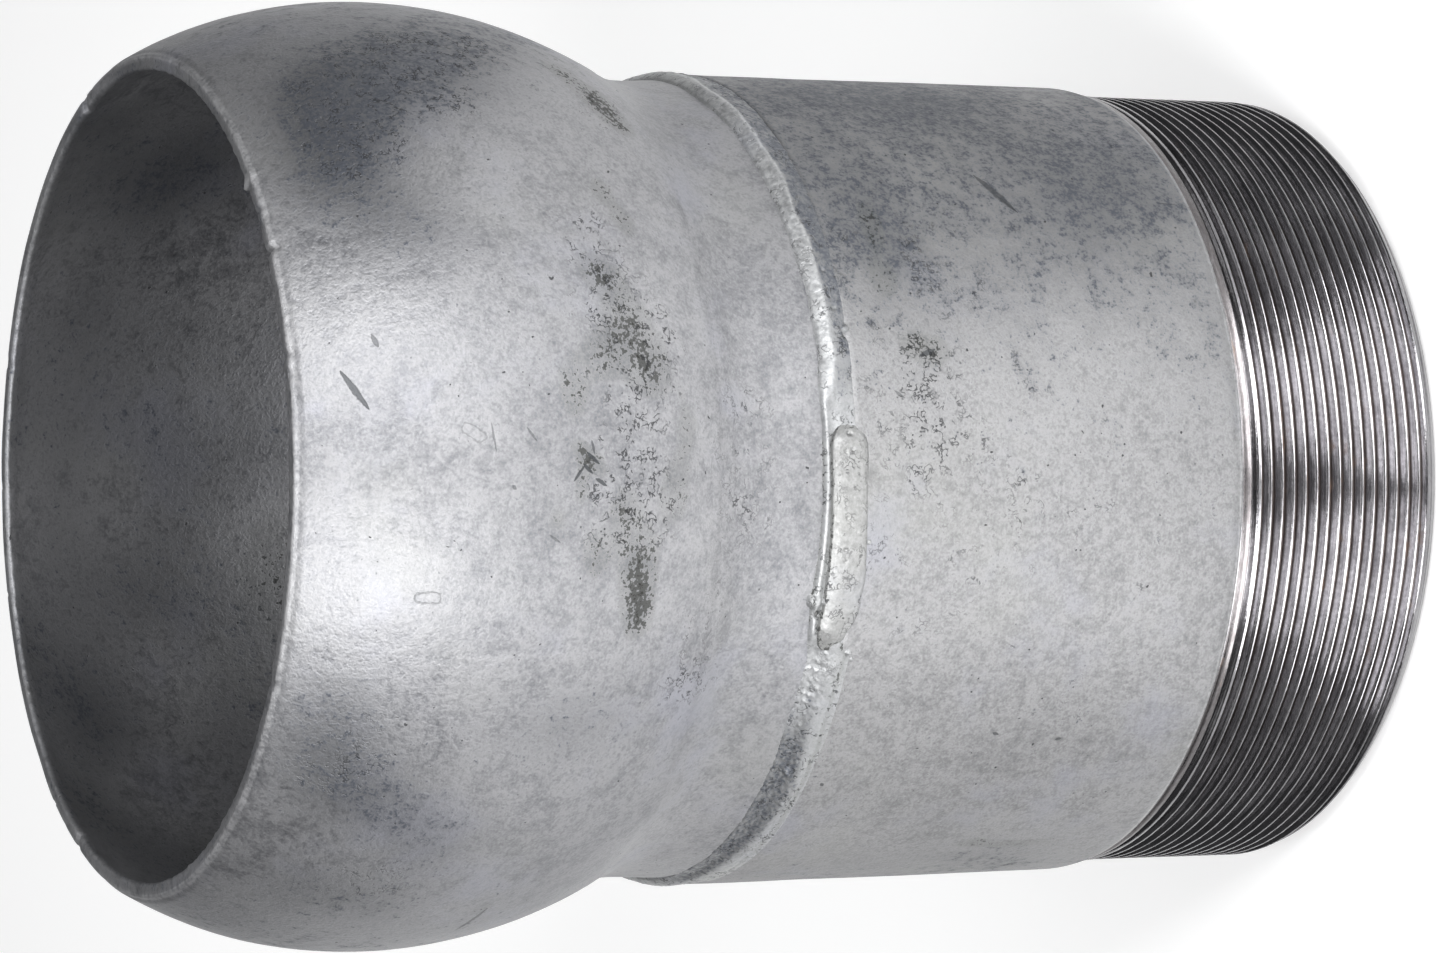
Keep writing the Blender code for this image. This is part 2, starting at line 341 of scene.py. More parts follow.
def zinc(name, light, dark, seed=0.0, mottle=1.0, rough=0.42, grain=1.0, metallic=0.85,
         warm=0.5, cuts=(), rings=(), radius=None):
    """Aged hot-dip zinc: clouds, mottle, crisp grain, bluish bloom, stains, pits and cuts, with painted shade and
    painted highlights carried by the bloom, stain and rub masks.
    """
    n = Nodes(name)
    o = (seed, seed * 0.7, seed * 1.3)
    cloud = n.noise(34, 3.0, 0.5, o)
    patch = n.noise(9, 4.0, 0.62, o, distort=0.5)
    fleck = n.noise(2.6, 3.0, 0.65, o)
    fine = n.noise(0.85, 2.0, 0.6, o)
    crisp = n.noise(0.42, 1.0, 0.5, (seed + 2, 3, 5))
    speck = n.noise(1.5, 2.0, 0.55, (seed + 3, 1, 2))
    tone = n.add(0.5, n.mul(cloud, 0.50 * mottle), n.mul(patch, 0.62 * mottle),
                 n.mul(fleck, 0.62 * grain), n.mul(fine, 0.62 * grain), n.mul(crisp, 0.42 * grain))
    tone = n.ramp(tone, 0.02, 0.98)
    colour = n.mix(tone, dark, light)
    # cool and faintly warm drift in the zinc
    drift = n.ramp(n.add(n.noise(24, 3.0, 0.5, (seed + 9, 4, 1)), n.mul(patch, 0.5)), 0.02, 0.30)
    colour = n.mix(n.mul(drift, 0.42), colour, (light[0] * 0.78, light[1] * 0.80, light[2] * 0.92))
    haze = n.ramp(n.noise(30, 2.0, 0.5, (seed + 5, 8, 2)), 0.03, 0.25)
    colour = n.mix(n.mul(haze, 0.35 * warm), colour, (light[0] * 0.92, light[1] * 0.93, light[2] * 0.86))
    # bluish-dark bloom, streaky and torn at its edges; the same mask carries painted shade on the sides seen edge-on
    # and on the weld bead's fall, laid on by dull as a smooth darkening
    blue = n.attr("blue")
    dull = n.ramp(n.add(blue, n.mul(patch, 0.9), n.mul(fleck, 0.7)), 0.08, 1.0, 0.0, 0.58)
    colour = n.mix(dull, colour, (0.088, 0.090, 0.092))
    bloom_and_shade_in = n.ramp(n.add(blue, n.mul(patch, 0.9), n.mul(fleck, 1.5), n.mul(fine, 1.3), n.mul(crisp, 0.7)), 0.22, 1.15)
    bloom_and_shade_in = n.math("MULTIPLY", bloom_and_shade_in, n.add(0.74, n.mul(fleck, 1.2), n.mul(fine, 1.8), n.mul(crisp, 1.2)), clamp=True)
    colour = n.mix(n.mul(bloom_and_shade_in, 0.88), colour, (0.066, 0.073, 0.090))
    # wriggling cracks and pits in the bloom, the stains and wherever the skin is rough
    dense = n.attr("pits")
    room = n.ramp(n.add(dense, n.mul(patch, 1.1), n.mul(fleck, 0.5)), 0.16, 0.62)
    line = n.math("ABSOLUTE", n.add(n.noise(1.0, 1.0, 0.5, (seed + 6, 2, 8)), n.mul(crisp, 0.25)))
    wriggle = n.mul(n.ramp(line, 0.062, 0.022), n.ramp(n.noise(2.2, 1.0, 0.5, (seed, 9, 4)), 0.0, 0.08))
    hole = n.ramp(n.add(n.noise(1.0, 1.0, 0.5, (seed + 8, 5, 1)), n.mul(crisp, 0.3)), 0.20, 0.27)
    sparse = n.ramp(n.add(n.noise(1.15, 1.0, 0.5, (seed + 1, 6, 3)), n.mul(n.noise(14, 2.0, 0.5, (seed, 2, 7)), 0.18)), 0.275, 0.31)
    pit = n.math("MAXIMUM", n.mul(n.math("MAXIMUM", wriggle, hole), room), sparse)
    # stains: a faint halo, a speckled field, and a dark broken heart; on the welds the same mask also paints shade in
    # toes, creases and pores
    stain = n.attr("stain")
    halo = n.ramp(n.add(stain, n.mul(fleck, 0.25), n.mul(patch, 0.25)), 0.16, 0.30)
    colour = n.mix(n.mul(halo, 0.20), colour, (0.115, 0.120, 0.110))
    field = n.math("MULTIPLY", n.ramp(n.add(stain, n.mul(fleck, 1.0), n.mul(fine, 2.2), n.mul(crisp, 1.0)), 0.55, 0.80),
                   n.ramp(stain, 0.12, 0.40))
    heart = n.ramp(n.add(stain, n.mul(fleck, 1.0), n.mul(fine, 1.0), n.mul(crisp, 0.6)), 0.78, 1.02)
    stain_and_shade_in = n.math("MAXIMUM", n.mul(field, 0.78), n.math("MULTIPLY", heart, n.add(0.62, n.mul(fine, 2.2), n.mul(crisp, 1.0)), clamp=True))
    colour = n.mix(stain_and_shade_in, colour, (0.036, 0.037, 0.034))
    colour = n.mix(n.mul(pit, 0.80), colour, (0.035, 0.036, 0.039))
    # clean bright rubs; on the weld bead the same mask paints highlights on its rise and ridge
    rub = n.attr("rub")
    colour = n.mix(n.mul(n.ramp(n.add(rub, n.mul(fine, 0.5)), 0.2, 0.8), 0.55), colour,
                   (light[0] * 1.6, light[1] * 1.6, light[2] * 1.6))
    height = n.add(n.mul(crisp, 0.35), n.mul(fine, 0.62), n.mul(fleck, 1.0), n.mul(patch, 1.3),
                   n.mul(pit, -0.9), n.mul(stain_and_shade_in, -0.3))
    for a, b, width, depth, shade in cuts:
        cut = n.cut(radius, a, b, width)
        colour = n.mix(n.mul(cut, depth), colour, shade)
        height = n.add(height, n.mul(cut, -0.9 * depth))
    for a, b, off, width, depth in rings:
        d, _ = n.segment(radius, a, b)
        ring = n.ramp(n.math("ABSOLUTE", n.math("SUBTRACT", n.add(d, n.mul(speck, 0.0012)), off * MM)), width * MM, width * 0.3 * MM)
        colour = n.mix(n.mul(ring, depth), colour, (0.08, 0.083, 0.085))
        height = n.add(height, n.mul(ring, -0.6 * depth))
    roughness = n.add(rough, n.mul(patch, 0.14), n.mul(fleck, 0.20), n.mul(fine, 0.18),
                      n.mul(stain_and_shade_in, 0.16), n.mul(bloom_and_shade_in, 0.05), n.mul(pit, 0.2))
    return n.finish(colour, roughness, n.bump(height, 0.10 * grain), metallic)


def bare_steel(name):
    """Freshly cut thread: bright crests, brown roots darkened by depth as painted shade, turning marks."""
    n = Nodes(name)
    root = n.attr("root")
    lines = n.noise(0.16, 3.0, 0.6, stretch=(90, 90, 1))
    tear = n.noise(0.5, 3.0, 0.6, (3, 1, 8), stretch=(6, 6, 1))
    fine = n.noise(0.7, 3.0, 0.6, (1, 5, 2))
    cloud = n.noise(9, 3.0, 0.55, (7, 2, 4))
    # painted shade: the roots are darkened brown by their depth, and the run-out above 37 mm the same way
    deep = n.ramp(n.add(root, n.mul(lines, 0.15), n.mul(tear, 0.2)), 0.58, 0.93)
    tone = n.ramp(n.add(0.5, n.mul(lines, 0.9), n.mul(cloud, 0.6), n.mul(fine, 0.6)), 0.1, 0.9)
    colour = n.mix(tone, (0.115, 0.112, 0.118), (0.305, 0.299, 0.310))
    colour = n.mix(n.mul(deep, 0.92), colour, (0.046, 0.036, 0.033))
    rust = n.ramp(n.add(n.noise(2.2, 3.0, 0.6, (2, 2, 9), stretch=(3, 3, 1)), n.mul(root, 0.12)), 0.20, 0.34)
    colour = n.mix(n.mul(rust, 0.5), colour, (0.13, 0.085, 0.062))
    rough = n.add(0.16, n.mul(lines, 0.12), n.mul(deep, 0.22), n.mul(rust, 0.2), n.mul(tear, 0.12))
    height = n.add(n.mul(lines, 0.8), n.mul(tear, 1.0), n.mul(fine, 0.5))
    return n.finish(colour, rough, n.bump(height, 0.035), 1.0)


dark_cut, light_cut = (0.045, 0.048, 0.052), (0.70, 0.71, 0.72)
plate_mat = zinc("galvanised_plate_skin", (0.352, 0.352, 0.360), (0.138, 0.141, 0.152), 0.0, rough=0.50,
                 radius=shell_outer,
                 cuts=[((7.0, 77.2), (10.7, 82.0), 0.62, 0.8, dark_cut), ((12.0, 73.0), (12.8, 74.6), 0.5, 0.6, dark_cut),
                       ((14.7, 73.9), (32.1, 74.0), 0.13, 0.6, dark_cut), ((15.2, 74.4), (27.0, 74.6), 0.14, 0.5, light_cut),
                       ((46.4, 160.4), (48.1, 153.0), 0.6, 0.6, dark_cut), ((43.6, 90.5), (45.6, 88.7), 0.34, 0.85, dark_cut), ((46.0, 87.2), (48.2, 88.5), 0.42, 0.9, dark_cut),
                       ((45.3, 88.5), (47.0, 89.6), 0.40, 0.9, dark_cut), ((47.6, 90.2), (49.6, 91.0), 0.45, 0.85, dark_cut), ((46.9, 85.8), (47.4, 87.4), 0.3, 0.7, dark_cut),
                       ((29.6, 83.9), (30.3, 87.2), 0.22, 0.5, dark_cut), ((35.5, 84.4), (37.2, 86.0), 0.3, 0.5, dark_cut),
                       ((39.5, 96.5), (41.5, 97.4), 0.3, 0.5, dark_cut), ((33.0, 91.0), (33.6, 91.4), 0.4, 0.6, dark_cut)],
                 rings=[((19.0, 104.0), (21.4, 104.0), 0.85, 0.22, 0.45), ((25.6, 84.6), (28.0, 85.4), 0.9, 0.2, 0.35)])
pipe_mat = zinc("galvanised_pipe_skin", (0.352, 0.352, 0.356), (0.152, 0.153, 0.158), 20.0,
                rough=0.54, grain=1.15, mottle=0.7, radius=pipe,
                cuts=[((133.2, 43.0), (138.0, 49.8), 0.95, 0.75, dark_cut), ((135.6, 46.9), (138.4, 50.2), 0.4, 0.8, dark_cut),
                      ((166.8, 47.7), (173.4, 48.2), 0.30, 0.6, dark_cut), ((126.7, 164.3), (168.3, 147.8), 0.45, 0.3, dark_cut),
                      ((101.6, 119.2), (101.9, 131.6), 0.20, 0.8, dark_cut), ((112.4, 73.2), (115.4, 72.2), 0.6, 0.8, dark_cut),
                      ((132.6, 127.2), (133.8, 127.6), 0.45, 0.7, dark_cut), ((145.4, 128.8), (146.5, 128.6), 0.45, 0.7, dark_cut),
                      ((103.6, 136.0), (104.2, 136.6), 0.45, 0.7, dark_cut), ((106.9, 78.0), (108.6, 79.0), 0.35, 0.5, dark_cut)])
weld_mat = zinc("galvanised_weld_skin", (0.38, 0.385, 0.39), (0.19, 0.195, 0.20), 40.0,
                rough=0.45, grain=0.8, mottle=0.8, metallic=0.6)
run_mat = zinc("galvanised_weld_end_skin", (0.33, 0.332, 0.33), (0.185, 0.187, 0.185), 50.0,
               rough=0.47, grain=0.85, mottle=0.6, metallic=0.75)
steel_mat = bare_steel("bare_thread_skin")


# ------------------------------------------------------------------ ball shell
def shell_marks(phi, x):
    """Where the zinc is stained, bluish, pitted or rubbed, and where shade is painted on the ball's two edge-on sides.
    """
    b = lambda *a: blot(phi, x, *a)
    # painted shade: the two wide blots at phi 8 and 172 darken the ball's edge-on sides; the other blots are bloom
    blue = (0.62 * b((28, 37), 13, 11) + 0.45 * b((44, 28), 14, 10) + 0.4 * b((56, 20), 12, 9) + 0.95 * b((15, 39), 10, 11) + 0.7 * b((12, 50), 9, 9) + 0.5 * b((20, 60), 12, 8)
            + 0.35 * b((30, 30), 14, 10) + 0.5 * b((9, 122), 8, 12) + 0.55 * b((18, 131), 11, 8)
            + 0.4 * b((30, 137), 9, 8) + 0.35 * b((22, 150), 12, 9) + 0.35 * b((46, 120), 16, 7)
            + 0.42 * b((30, 8), 46, 26) + 0.38 * b((30, 172), 46, 24) + 0.5 * b((18, 250), 18, 20) + 0.4 * b((50, 310), 14, 18) + 0.4 * b((40, 205), 12, 20))
    stain = (0.85 * b((64, 35), 3.5, 4.5, 20) + 0.7 * b((66.5, 39), 3, 3.5) + 0.6 * b((60, 30), 3, 4)
             + 0.55 * b((56, 54), 2.2, 2.6) + 0.5 * b((59, 58), 2.5, 3.0)
             + 0.75 * b((52, 66), 4.5, 3.0, 25) + 0.7 * b((55.5, 72), 4.5, 4.5, 30)
             + 0.75 * b((59, 77), 4.0, 4.5, 30) + 0.5 * b((50, 76), 4, 4) + 0.45 * b((44, 80), 3, 5)
             + 0.85 * b((46.5, 88), 3.2, 1.5, 35) + 0.6 * b((45, 91), 1.2, 2.5)
             + 0.85 * b((56.5, 100.5), 3.6, 5.5) + 0.9 * b((57.2, 106), 2.6, 3.8)
             + 0.5 * b((53, 94), 3, 4) + 0.45 * b((48, 99), 3, 4) + 0.45 * b((63, 92), 3.5, 6)
             + 0.35 * b((66, 84), 3, 6) + 0.35 * b((47, 153), 2.5, 4) + 0.3 * b((41, 95), 3, 3)
             + 0.6 * b((55, 215), 5, 6) + 0.6 * b((60, 290), 5, 5) + 0.5 * b((40, 330), 4, 6))
    pits = (0.9 * b((57, 74), 9, 9) + 0.9 * b((54, 92), 10, 12) + 0.8 * b((15, 45), 9, 13)
            + 1.0 * b((29, 35), 12, 11) + 0.5 * b((44, 28), 12, 9)
            + 0.5 * b((50, 62), 8, 8) + 0.5 * b((22, 145), 8, 10) + 0.5 * b((12, 126), 8, 8)
            + 0.45 * b((80, 90), 7, 26) + 0.4 * b((70, 115), 8, 14) + 0.4 * b((64, 36), 6, 8)
            + 0.6 * b((55, 220), 12, 16) + 0.5 * b((25, 300), 12, 16))
    rub = 0.35 * b((30, 85.5), 1.2, 2.4) + 0.3 * b((24, 82), 1.0, 2.2)
    return blue, stain, pits, rub


def make_shell():
    n = 640
    phi = np.arange(n) * 360.0 / n
    down = np.concatenate([[1.1, 1.8, 2.6], np.arange(3.6, 72, 1.18), np.arange(72.4, 92, 0.72), [92.6, 93.6, 94.8]])
    ro = shell_outer(down)
    ri = shell_outer(np.maximum(down - 0.4, 0)) - PLATE
    slope = np.gradient(ro, down)
    # inside: offset square to the plate
    nx = slope / np.sqrt(1 + slope**2)
    inner_x = down + PLATE * nx
    inner_r = ro - PLATE / np.sqrt(1 + slope**2)
    ok = (inner_x > 1.0) & (inner_x < 93.6)
    inner_x, inner_r = inner_x[ok][::3], inner_r[ok][::3]
    mouth_out = float(shell_outer(np.array(0.0)))
    mouth_in = mouth_out - 2.75
    rim = [(mouth_in + 0.05, 0.95), (mouth_in + 0.08, 0.5), (mouth_in + 0.22, 0.2), (mouth_in + 0.45, 0.05),
           (mouth_in + 0.8, 0.0), (mouth_in + 1.4, 0.0), (mouth_out - 1.0, 0.0), (mouth_out - 0.62, 0.02),
           (mouth_out - 0.30, 0.12), (mouth_out - 0.08, 0.32), (mouth_out + 0.08, 0.65)]
    rows = ([(r, x) for r, x in zip(inner_r[::-1], inner_x[::-1])] + rim
            + [(r, x) for r, x in zip(ro, down)] + [(69.2, 94.95), (68.2, 94.2)])
    r = np.repeat(np.array([[a[0]] for a in rows]), n, axis=1)
    x = np.repeat(np.array([[a[1]] for a in rows]), n, axis=1)
    first_rim = len(inner_r)
    outside = np.zeros((len(rows), 1))
    outside[first_rim + 6:-2] = 1
    # pressed plate is never quite true
    dull = waves(11, 26, 22, 60)(phi[None, :], x)
    mid = waves(12, 40, 6, 16)(phi[None, :], x)
    small = waves(13, 60, 2.4, 5)(phi[None, :], x)
    calm = np.clip(x / 5.0, 0, 1) * np.clip((96 - x) / 3.0, 0, 1)
    r += calm * (0.05 * dull + 0.012 * mid + 0.006 * small)
    pocked = np.clip(blot(phi[None, :], x, (57, 74), 9, 9) + blot(phi[None, :], x, (55, 96), 9, 12)
                     + blot(phi[None, :], x, (15, 44), 9, 12) + blot(phi[None, :], x, (22, 138), 9, 10), 0, 1)
    r -= outside * pocked * 0.05 * np.clip(small - 0.35, 0, 2)
    # hammered neck
    r += outside * 0.035 * waves(14, 40, 5, 12)(phi[None, :], x) * step(64, 72, x) * step(93, 88, x)
    # mouth: burrs, chips, a nick of flashed zinc and two cuts
    edge = np.zeros((len(rows), 1))
    edge[first_rim:first_rim + 11] = 1
    chip = waves(15, 70, 1.6, 6)(phi, 0.0)
    burr = waves(16, 70, 1.2, 3.5)(phi, 0.0)
    inner_edge = np.zeros((len(rows), 1))
    inner_edge[first_rim + 1:first_rim + 5] = 1
    x += edge * 0.05 * waves(17, 20, 12, 40)(phi, 0.0)
    x += inner_edge * (-0.06 * np.clip(burr, 0, 2) + 0.16 * np.clip(chip - 0.75, 0, 1))
    r -= inner_edge * 0.10 * np.clip(burr, -0.5, 1.5)
    outer_edge = np.zeros((len(rows), 1))
    outer_edge[first_rim + 7:first_rim + 11] = 1
    x += outer_edge * 0.30 * np.clip(chip - 0.9, 0, 1)
    for at, wide, deep in ((46.8, 0.8, -0.35), (59.1, 0.45, 0.9), (52.5, 0.7, 0.3), (337.2, 0.9, 0.8),
                           (74.0, 0.6, 0.35), (118.0, 0.7, 0.3), (205.0, 0.8, 0.5)):
        d = np.exp(-(arc(phi, at) / wide)**2)
        x += edge * deep * d[None, :]
        if deep < 0:
            r -= inner_edge * 1.3 * d[None, :]
    x = np.maximum(x, 0.0)
    blue, stain, pits, rub = shell_marks(phi[None, :], x)
    inside = 1 - outside
    stain = stain * outside + inside * 0.5 * np.clip(
        blot(phi[None, :], x, (60, 255), 14, 14) + blot(phi[None, :], x, (30, 205), 10, 16), 0, 1)
    blue = blue * outside + inside * (0.30 + 0.22 * dull)
    pits = pits * outside
    rub = rub * outside + edge * (0.12 + 0.9 * np.exp(-(arc(phi, 46.8) / 1.0)**2)[None, :]) + outer_edge * 0.36
    obj = turned("ball_shell_skin", r, phi, x, [plate_mat],
                 {"blue": blue, "stain": stain, "pits": pits, "rub": rub})
    return outward(obj)


# ------------------------------------------------------------------ nipple
N_PIPE = 400
phi_pipe = np.arange(N_PIPE) * 360.0 / N_PIPE
BORE = 65.0


def make_pipe():
    phi = phi_pipe
    top = np.concatenate([[98.7, 99.2], np.arange(99.6, 104, 0.6), np.arange(105, 170, 1.7),
                          [170.3, 171, 171.5, 172, 172.5, 173, H - RUN_TOP]])
    out = [(float(pipe(v)), float(v)) for v in top]
    out[0] = (70.30, 98.7)
    out[1] = (70.70, 99.2)
    inner = [(BORE, H - RUN_TOP)] + [(BORE, v) for v in np.arange(170, 99, -3.5)]
    inner += [(BORE, 97.0), (BORE + 0.15, 96.3), (BORE + 0.9, 96.15), (66.6, 96.4)]
    rows = out + inner
    r = np.repeat(np.array([[a[0]] for a in rows]), len(phi), axis=1)
    x = np.repeat(np.array([[a[1]] for a in rows]), len(phi), axis=1)
    outside = np.zeros((len(rows), 1))
    outside[:len(out)] = 1
    calm = step(99, 108, x) * step(173.6, 168, x)
    r += outside * calm * (0.03 * waves(21, 24, 25, 70)(phi[None, :], x) + 0.010 * waves(22, 40, 6, 14)(phi[None, :], x))
    b = lambda *a: blot(phi[None, :], x, *a)
    # painted shade: shade darkens the pipe's side round phi 0, one of its two edge-on sides, through the bloom and
    # shade mask
    side = (phi + 180) % 360 - 180
    shade = step(104, 40, side) * step(-70, -30, side)
    blue = outside * (0.62 * shade[None, :] + 0.45 * b((128, 22), 22, 14) + 0.35 * b((110, 55), 8, 12) + 0.3 * b((150, 160), 16, 12)
                      + 0.3 * b((155, 45), 12, 14) + 0.5 * b((130, 260), 24, 26) + 0.4 * b((150, 330), 16, 18))
    stain = outside * (0.8 * b((113.5, 72), 4.5, 2.6, 10) + 0.5 * b((108, 62), 3, 4) + 0.55 * b((109, 53), 2.4, 6)
                       + 0.35 * b((150, 154), 14, 2.2) + 0.45 * b((142.3, 152.8), 2.4, 1.6)
                       + 0.6 * b((133.1, 127.4), 1.2, 0.5) + 0.55 * b((145.9, 128.8), 1.1, 0.5)
                       + 0.5 * b((122.9, 130.5), 1.2, 0.5) + 0.5 * b((132, 235), 7, 6) + 0.45 * b((118, 305), 6, 7))
    pits = outside * (0.36 * b((112, 78), 12, 16) + 0.16 * b((125, 95), 24, 18) + 0.26 * b((118, 55), 14, 14)
                      + 0.12 + 0.3 * b((140, 250), 24, 30))
    # painted shade on the band from 148 to 220 degrees, the pipe's other edge-on side; the bore is set evenly darker
    blue += (1 - outside) * 0.35 + outside * 0.34 * step(148, 176, phi)[None, :] * step(220, 190, phi)[None, :]
    rub = 0 * r + outside * 0.5 * step(172.2, 173.2, x)
    obj = turned("pipe_skin", r, phi, x, [pipe_mat], {"blue": blue, "stain": stain, "pits": pits, "rub": rub})
    return outward(obj)


def thread_radius(u, z):
    """Radius at u pitches from the groove's middle, z above the end face."""
    u = np.abs((u + 0.5) % 1.0 - 0.5)
    form = 1.479 - np.maximum(u - 1.0 / 12.0, 0.0) * (1.479 / (1.0 / 3.0))
    round_in = np.clip(1 - u / 0.12, 0, 1)**2 * 0.05
    lift = np.interp(z, [34.0, 36.4, 38.7, 40.9, 41.4], [0.0, 0.25, 0.85, 2.0, 2.4])
    cut = MAJOR + lift - (form - 0.0) - round_in
    env = pipe(H - z)
    k = 0.14
    h = np.clip(k - np.abs(cut - env), 0, None) / k
    return np.minimum(cut, env) - h * h * k / 4


def make_thread():
    n = N_PIPE
    per = [0.0, 0.055, 0.10, 0.25, 0.385, 0.43, 0.5, 0.57, 0.615, 0.75, 0.90, 0.945]
    m = len(per)
    turns = int(RUN_TOP / PITCH) + 4
    k = np.arange(turns * m)
    u_row = (k // m) + np.array(per)[k % m]            # pitches from the first groove
    i = np.arange(n)
    # phi runs with -angle; a right-hand helix climbs with the angle about +Z
    theta = -np.radians(phi_pipe)                      # angle about +Z
    order = np.argsort(theta % (2 * pi))
    turn_at = (theta % (2 * pi)) / (2 * pi)            # 0..1
    base = GROOVE_Z - PITCH * 0.75                     # groove height where theta = 0
    first = base - PITCH * 2
    z = first + PITCH * (u_row[:, None] + turn_at[None, order])
    phi = phi_pipe[order]
    u = np.broadcast_to(u_row[:, None], z.shape)
    low, high = z < 0.02, z > RUN_TOP - 0.02
    zc = np.where(low, 0.0, np.where(high, RUN_TOP, z))
    r = thread_radius(u, zc)
    r = np.where(low, float(pipe(H)), np.where(high, float(pipe(H - RUN_TOP)), r))
    crest = np.clip((r - (MAJOR - 0.35)) / 0.3, 0, 1) * (~low) * (~high)
    tooth = waves(31, 60, 0.9, 3.0)(phi[None, :], zc)
    r = r + crest * 0.012 * tooth - (~low) * (~high) * 0.006 * waves(32, 40, 2, 6)(phi[None, :], zc)
    root = np.maximum(np.clip((pipe(H - zc) - r) / DEPTH, 0, 1), 0.78 * step(37.0, 39.5, zc))
    verts = place(r, phi[None, :], H - zc)
    index = np.arange(z.size).reshape(z.shape)
    # every clamped vertex becomes the one ring vertex of its column
    ring_low, ring_high = z.size + np.arange(n), z.size + n + np.arange(n)
    index = np.where(low, ring_low[None, :], np.where(high, ring_high[None, :], index))
    quads = []
    a, b = index[:-1, :-1], index[:-1, 1:]
    c, d = index[1:, 1:], index[1:, :-1]
    quads.append(np.stack([a, b, c, d], -1).reshape(-1, 4))
    # the seam: column n-1 meets column 0 one pitch of rows further on
    rows = len(u_row)
    s = np.arange(rows - m - 1)
    quads.append(np.stack([index[s, n - 1], index[s + m, 0], index[s + m + 1, 0], index[s + 1, n - 1]], -1))
    ring_pts = [place(np.full(n, float(pipe(H))), phi, np.full(n, H)),
                place(np.full(n, float(pipe(H - RUN_TOP))), phi, np.full(n, H - RUN_TOP))]
    # end face, bore and the hidden face against the pipe
    extra = [(65.9, H - 0.0), (BORE + 0.9, H - 0.0), (BORE + 0.25, H - 0.0), (BORE + 0.05, H - 0.15), (BORE, H - 0.5)]
    extra = [(66.05 - 0.35, H), (BORE + 0.25, H), (BORE + 0.06, H - 0.1), (BORE, H - 0.4)]
    extra += [(BORE, v) for v in np.linspace(H - 3, H - RUN_TOP, 10)]
    extra_pts = [place(np.full(n, e[0]), phi, np.full(n, e[1])) for e in extra]
    start = z.size + 2 * n
    chain = [ring_low] + [start + q * n + np.arange(n) for q in range(len(extra))] + [ring_high]
    for lo, hi in zip(chain[:-1], chain[1:]):
        quads.append(np.stack([np.roll(lo, -1), lo, hi, np.roll(hi, -1)], -1))
    verts = np.concatenate([verts.reshape(-1, 3)] + ring_pts + extra_pts)
    quads = np.concatenate(quads)
    roots = np.concatenate([root.reshape(-1), np.zeros(2 * n), np.full(len(extra) * n, 0.45)])
    obj = make("thread_skin", verts, quads, [steel_mat], attributes={"root": roots})
    return outward(obj)


# ------------------------------------------------------------------ weld
toe_left = curve([(0, 92.6), (19, 92.2), (34, 92.9), (49, 93.2), (57, 93.4), (65, 93.8), (71, 93.8),
                  (78, 93.3), (84, 93.2), (90, 93.3), (96, 93.2), (101, 92.9), (107, 92.4), (113, 93.4),
                  (120, 93.6), (126, 93.3), (140, 93.5), (159, 93.8), (180, 93.2), (230, 92.8),
                  (300, 93.3), (360, 92.6)])
toe_right = curve([(0, 99.6), (36, 99.6), (46, 100.3), (54, 100.2), (63, 100.3), (67, 99.9), (74, 99.7),
                   (80, 99.4), (86, 100.4), (100, 100.5), (113, 99.8), (126, 99.8), (140, 100.2),
                   (160, 99.9), (200, 100.4), (260, 100.2), (320, 100.6), (360, 99.6)])


